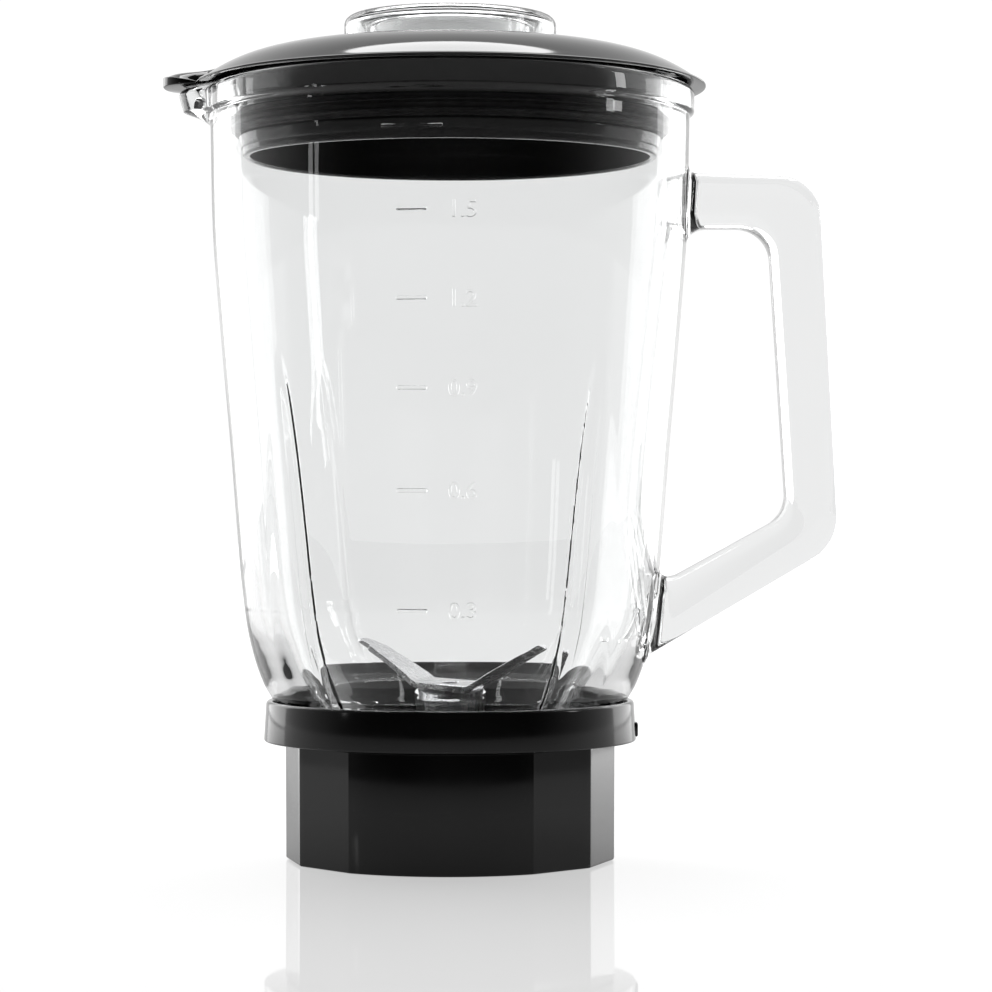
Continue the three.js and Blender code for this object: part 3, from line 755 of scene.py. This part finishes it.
def blade_carrier():
    """The disc under the jug, with the bearing housing in its middle."""
    profile = rounded([
        (6.3, 11, 0.3), (10.5, 11, 0.5), (12, 13.2, 0.5), (21.8, 13.2, 0.3), (21.8, 16.2, 0.2),
        (23.4, 16.2, 0.2), (23.4, 17.3, 0.2), (38.9, 17.3, 0.3), (38.9, 18.9, 0.4), (30.5, 18.9, 1.5),
        (20, 21, 6), (12.5, 26, 4), (10.4, 29.6, 1), (9.2, 30.9, 0.6), (6.3, 30.9, 0.3)], 5)
    piece = turned("blade_carrier_fine", profile, MIDDLE)
    return dress(piece, SATIN, "base", "satin_black", "blade_carrier")


# ------------------------------------------------------------------ blade unit

BLADE_THICKNESS, BLADE_FLAT, BLADE_REACH = 1.5, 9.0, 30.3
BLADE_HALF_WIDTH, BLADE_TIP_HALF_WIDTH = 6.0, 3.6
BLADE_STEP, BLADE_TIP_ROUND = 0.7, 1.6
BLADE_BEND, BLADE_TURN, BLADE_FOLD_R = 31.7, -29.0, 4.0
BEVEL_WIDTH, BEVEL_EDGE, BEVEL_RUN_IN = 2.6, 0.25, 4.0


def blade_section(x, half_width, thickness):
    """Across the strip: a flat plate whose leading edge is ground thin from below."""
    on_wing = smoothstep(abs(x), BLADE_FLAT, BLADE_FLAT + BEVEL_RUN_IN)
    bevel = BEVEL_WIDTH * on_wing
    edge = thickness - (thickness - BEVEL_EDGE) * on_wing
    corner = 0.15
    points = [(-half_width, corner), (-half_width + corner, 0), (half_width - bevel - corner, 0),
              (half_width, thickness - edge + corner * 0.6), (half_width, thickness - corner * 0.6),
              (half_width - corner, thickness), (-half_width + corner, thickness),
              (-half_width, thickness - corner)]
    if x < 0:
        return points
    mirrored = [(-y, z) for y, z in points]
    return mirrored[3::-1] + mirrored[:3:-1]


def blade_half_width(x):
    """Wings narrow to the tip, with a small step in the cutting edge near it."""
    past = max(abs(x) - BLADE_FLAT, 0) / (BLADE_REACH - BLADE_FLAT)
    width = BLADE_HALF_WIDTH + (BLADE_TIP_HALF_WIDTH - BLADE_HALF_WIDTH) * past
    step = BLADE_STEP * float(smoothstep(abs(x), BLADE_REACH - 5.2, BLADE_REACH - 4.4))
    round_tip = max(abs(x) - (BLADE_REACH - BLADE_TIP_ROUND), 0) / BLADE_TIP_ROUND
    return (width - step) * math.sqrt(max(1 - 0.55 * round_tip**2, 0.05))


def bend_up(x, z):
    """Bends the strip up past the flat, with a small radius at the fold."""
    radius = BLADE_FOLD_R
    angle = math.radians(BLADE_BEND)
    fold = radius * math.tan(angle / 2)
    start = BLADE_FLAT - fold
    wing = (BLADE_REACH - BLADE_FLAT) / math.cos(angle) - fold
    side = math.copysign(1, x)
    along = abs(x) * (start + radius * angle + wing) / BLADE_REACH
    if along <= start:
        return side * along, z
    turn = min((along - start) / radius, angle)
    rest = max(along - start - radius * angle, 0)
    run = start + radius * math.sin(turn) + rest * math.cos(turn) - z * math.sin(turn)
    rise = radius * (1 - math.cos(turn)) + rest * math.sin(turn) + z * math.cos(turn)
    return side * run, rise


def cutting_blade():
    """One strip, flat in the middle, with a wing bent up at each end."""
    turn = math.radians(BLADE_TURN)
    points = []
    stations = np.linspace(-BLADE_REACH, BLADE_REACH, 122)
    for x in stations:
        for y, z in blade_section(x, blade_half_width(x), BLADE_THICKNESS):
            run, rise = bend_up(x, z)
            points.append((run * math.cos(turn) - y * math.sin(turn),
                           run * math.sin(turn) + y * math.cos(turn),
                           BLADE_LOW[2] + rise))
    faces = tube_faces(len(stations), len(points) // len(stations))
    piece = mesh_object("cutting_blade_fine", points, faces, 20)
    return dress(piece, BLADE_STEEL, "blade_unit", "steel", "cutting_blade")


HUB_BORE, HUB_BOTTOM_R = 4.3, 9.2


def octagon(radius, z, edge):
    """A level eight-sided ring with rounded corners."""
    angles = [2 * math.pi * i / 8 for i in range(8)]
    corners = [(radius * math.cos(angle), radius * math.sin(angle), edge) for angle in angles]
    return [(x, y, z) for x, y in rounded(corners, 6)]


def blade_hub():
    """The tapered eight-sided boss under the blade, chamfered at the top."""
    bottom, top, top_r = HUB_LOW[2], HUB_HIGH[2], HUB_HIGH[0]
    rings = [octagon(HUB_BOTTOM_R - 0.4, bottom, 0.3), octagon(HUB_BOTTOM_R, bottom + 0.4, 0.35),
             octagon(top_r - 0.05, top - 0.7, 0.35), octagon(top_r - 0.8, top, 0.5)]
    angles = [math.atan2(y, x) for x, y, _ in rings[0]]
    for z in (top, bottom):
        rings.append([(HUB_BORE * math.cos(angle), HUB_BORE * math.sin(angle), z) for angle in angles])
    piece = mesh_object("blade_hub_fine", np.vstack(rings), grid_faces(len(rings), len(rings[0])), 14)
    return dress(piece, TURNED_STEEL, "blade_unit", "steel", "blade_hub")


def blade_shaft():
    """The shaft, with a groove for its clip and a thinner end that holds the blade."""
    low, high = box_mm("blade_shaft")
    r, tip_r = high[0], 2.6
    shoulder = BLADE_LOW[2] - 0.3
    profile = rounded([
        (0, low[2]), (r, low[2], 0.6), (r, 9.0), (r - 0.6, 9.0), (r - 0.6, 9.9), (r, 9.9), (r, shoulder, 0.2),
        (tip_r, shoulder, 0.2), (tip_r, high[2], 0.45), (0, high[2])], 4, closed=False)
    piece = turned("blade_shaft_fine", profile, SMALL)
    return dress(piece, TURNED_STEEL, "blade_unit", "steel", "blade_shaft")


# ------------------------------------------------------------------ small CAD nodes that keep their shape

def dress_small_nodes():
    """Gives the small CAD solids their materials and slightly softened edges."""
    finishes = {
        "carrier_oring": RUBBER, "shaft_seal": RUBBER, "upper_bush": BRONZE, "lower_bush": BRONZE,
        "base_screw_1": TURNED_STEEL, "base_screw_2": TURNED_STEEL, "base_screw_3": TURNED_STEEL,
        "hub_washer": TURNED_STEEL, "thrust_washer": TURNED_STEEL, "retaining_clip": TURNED_STEEL,
        "drive_coupling": TURNED_STEEL,
    }
    for node, material in finishes.items():
        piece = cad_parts[node]
        for slot in piece.material_slots:
            slot.material = material
        bevel = piece.modifiers.new("soft_edges", "BEVEL")
        bevel.width = 0.15 * MM
        bevel.segments = 2
        bevel.limit_method = "ANGLE"
        bevel.angle_limit = math.radians(40)


# ------------------------------------------------------------------ studio

CAMERA_FROM_AXIS, CAMERA_SIDE, CAMERA_HEIGHT = 0.914, 0.0131, 0.1035
CAMERA_LENS = 116.0


def studio_camera():
    """A long lens, level, in front of the object and a little to the right."""
    data = bpy.data.cameras.new("camera")
    data.lens = CAMERA_LENS
    data.sensor_width = 36
    camera = bpy.data.objects.new("camera", data)
    camera.location = (CAMERA_SIDE, -CAMERA_FROM_AXIS, CAMERA_HEIGHT)
    camera.rotation_euler = (math.pi / 2, 0, 0)
    bpy.context.scene.collection.objects.link(camera)
    bpy.context.scene.camera = camera


# how much the floor glows to the camera and in mirror images
FLOOR_GLOW, FLOOR_GLOW_MIRRORED = 0.53, 0.25
# through glass it has no mirror image, and glows less in front of the object than behind it
FLOOR_GLOW_FRONT, FLOOR_GLOW_BEHIND = 0.2, 0.85
FLOOR_HALF_SIZE, FLOOR_DROP = 6.0, 0.0003     # the drop keeps the floor clear of the foot


def studio_floor():
    """A pale glossy floor that mirrors the object and the backdrop."""
    mesh = bpy.data.meshes.new("floor")
    half = FLOOR_HALF_SIZE
    corners = [(-half, -half, 0), (half, -half, 0), (half, half, 0), (-half, half, 0)]
    mesh.from_pydata(corners, [], [(0, 1, 2, 3)])
    floor = bpy.data.objects.new("floor", mesh)
    floor.location.z = -FLOOR_DROP
    bpy.context.scene.collection.objects.link(floor)
    material, tree, glossy = new_material(
        "floor", Base_Color=(0.25, 0.25, 0.25, 1), IOR=1.15, Emission_Color=(1, 1, 1, 1))
    tree.links.new(add_range(tree, add_noise(tree, 30), 0.02, 0.03), glossy.inputs["Roughness"])
    matt = tree.nodes.new("ShaderNodeBsdfPrincipled")
    matt.inputs["Base Color"].default_value = (0.06, 0.06, 0.06, 1)
    matt.inputs["Specular IOR Level"].default_value = 0
    matt.inputs["Roughness"].default_value = 1
    matt.inputs["Emission Color"].default_value = (1, 1, 1, 1)
    place = tree.nodes.new("ShaderNodeTexCoord")
    axes = tree.nodes.new("ShaderNodeSeparateXYZ")
    tree.links.new(place.outputs["Object"], axes.inputs["Vector"])
    depth_glow = add_range(tree, axes.outputs["Y"], FLOOR_GLOW_FRONT, FLOOR_GLOW_BEHIND, -0.15, 0.1)
    tree.links.new(depth_glow, matt.inputs["Emission Strength"])
    rays = tree.nodes.new("ShaderNodeLightPath")
    glow = add_range(tree, rays.outputs["Is Camera Ray"], FLOOR_GLOW_MIRRORED, FLOOR_GLOW, 0, 1)
    tree.links.new(glow, glossy.inputs["Emission Strength"])
    mix = tree.nodes.new("ShaderNodeMixShader")
    tree.links.new(rays.outputs["Is Transmission Ray"], mix.inputs[0])
    tree.links.new(glossy.outputs["BSDF"], mix.inputs[1])
    tree.links.new(matt.outputs["BSDF"], mix.inputs[2])
    tree.links.new(mix.outputs["Shader"], tree.nodes["Material Output"].inputs["Surface"])
    floor.data.materials.append(material)


BACKDROP_LEVEL = 1.05       # what the camera itself sees, on every side
# brightness of the room against direction: 0 is towards the camera, 1 is straight behind the jug
WORLD_LEVELS = [(0, 0.03), (0.25, 0.05), (0.42, 0.2), (0.55, 0.36), (0.68, 0.6), (0.8, 0.91), (1, 0.92)]


def studio_world():
    """A white backdrop behind the object that fades to a dim room on the camera's side."""
    world = bpy.data.worlds.new("studio")
    bpy.context.scene.world = world
    world.use_nodes = True
    tree = world.node_tree
    background = tree.nodes["Background"]
    background.inputs["Color"].default_value = (1, 1, 1, 1)
    direction = tree.nodes.new("ShaderNodeTexCoord")
    axes = tree.nodes.new("ShaderNodeSeparateXYZ")
    tree.links.new(direction.outputs["Generated"], axes.inputs["Vector"])
    round_about = tree.nodes.new("ShaderNodeFloatCurve")
    curve = round_about.mapping.curves[0]
    for point, (where, level) in zip(curve.points, WORLD_LEVELS[:1] + WORLD_LEVELS[-1:]):
        point.location = (where, level)
    for where, level in WORLD_LEVELS[1:-1]:
        curve.points.new(where, level)
    round_about.mapping.update()
    tree.links.new(add_range(tree, axes.outputs["Y"], 0, 1, -1, 1), round_about.inputs["Value"])
    rays = tree.nodes.new("ShaderNodeLightPath")
    seen = tree.nodes.new("ShaderNodeMix")
    seen.data_type = "FLOAT"
    tree.links.new(rays.outputs["Is Camera Ray"], seen.inputs[0])
    tree.links.new(round_about.outputs["Value"], seen.inputs[2])
    seen.inputs[3].default_value = BACKDROP_LEVEL
    tree.links.new(seen.outputs[0], background.inputs["Strength"])


def soft_box(name, place, target, size, power):
    """An area light that faces a target and isn't seen by the camera itself."""
    data = bpy.data.lights.new(name, "AREA")
    data.shape = "RECTANGLE"
    data.size, data.size_y = size
    data.energy = power
    light = bpy.data.objects.new(name, data)
    light.location = place
    light.rotation_euler = (Vector(target) - Vector(place)).to_track_quat("-Z", "Y").to_euler()
    light.visible_camera = False
    bpy.context.scene.collection.objects.link(light)


# each soft box: name, place, what it faces, size, all in metres, and power in watts
SOFT_BOXES = (
    ("top_light", (0, 0.25, 1.15), (0, 0, 0.12), (1.1, 0.7), 14),
    ("left_rim_light", (-0.89, 0.95, 0.55), (0, 0, 0.35), (0.8, 1.1), 4.2),
    ("right_rim_light", (0.89, 0.95, 0.55), (0, 0, 0.35), (0.8, 1.1), 4.2),
    ("right_strip_light", (1.09, -0.11, 0.45), (0, 0, 0.2), (0.12, 0.28), 0.6),
    ("left_strip_light", (-1.0, -0.44, 0.235), (0, 0, 0.2), (0.045, 0.11), 0.045),
)


def studio():
    """The camera, floor, backdrop and lights."""
    studio_camera()
    studio_floor()
    studio_world()
    for box in SOFT_BOXES:
        soft_box(*box)
    scene = bpy.context.scene
    scene.view_settings.view_transform = "Standard"
    scene.view_settings.look = "None"
    scene.cycles.max_bounces = 32
    scene.cycles.transmission_bounces = 28
    scene.cycles.transparent_max_bounces = 16


# ------------------------------------------------------------------ the whole scene

studio()
glass_jug()
jug_gasket()
lid()
lid_seal()
filler_cap()
base_collar()
base_skirt()
blade_carrier()
cutting_blade()
blade_hub()
blade_shaft()
dress_small_nodes()
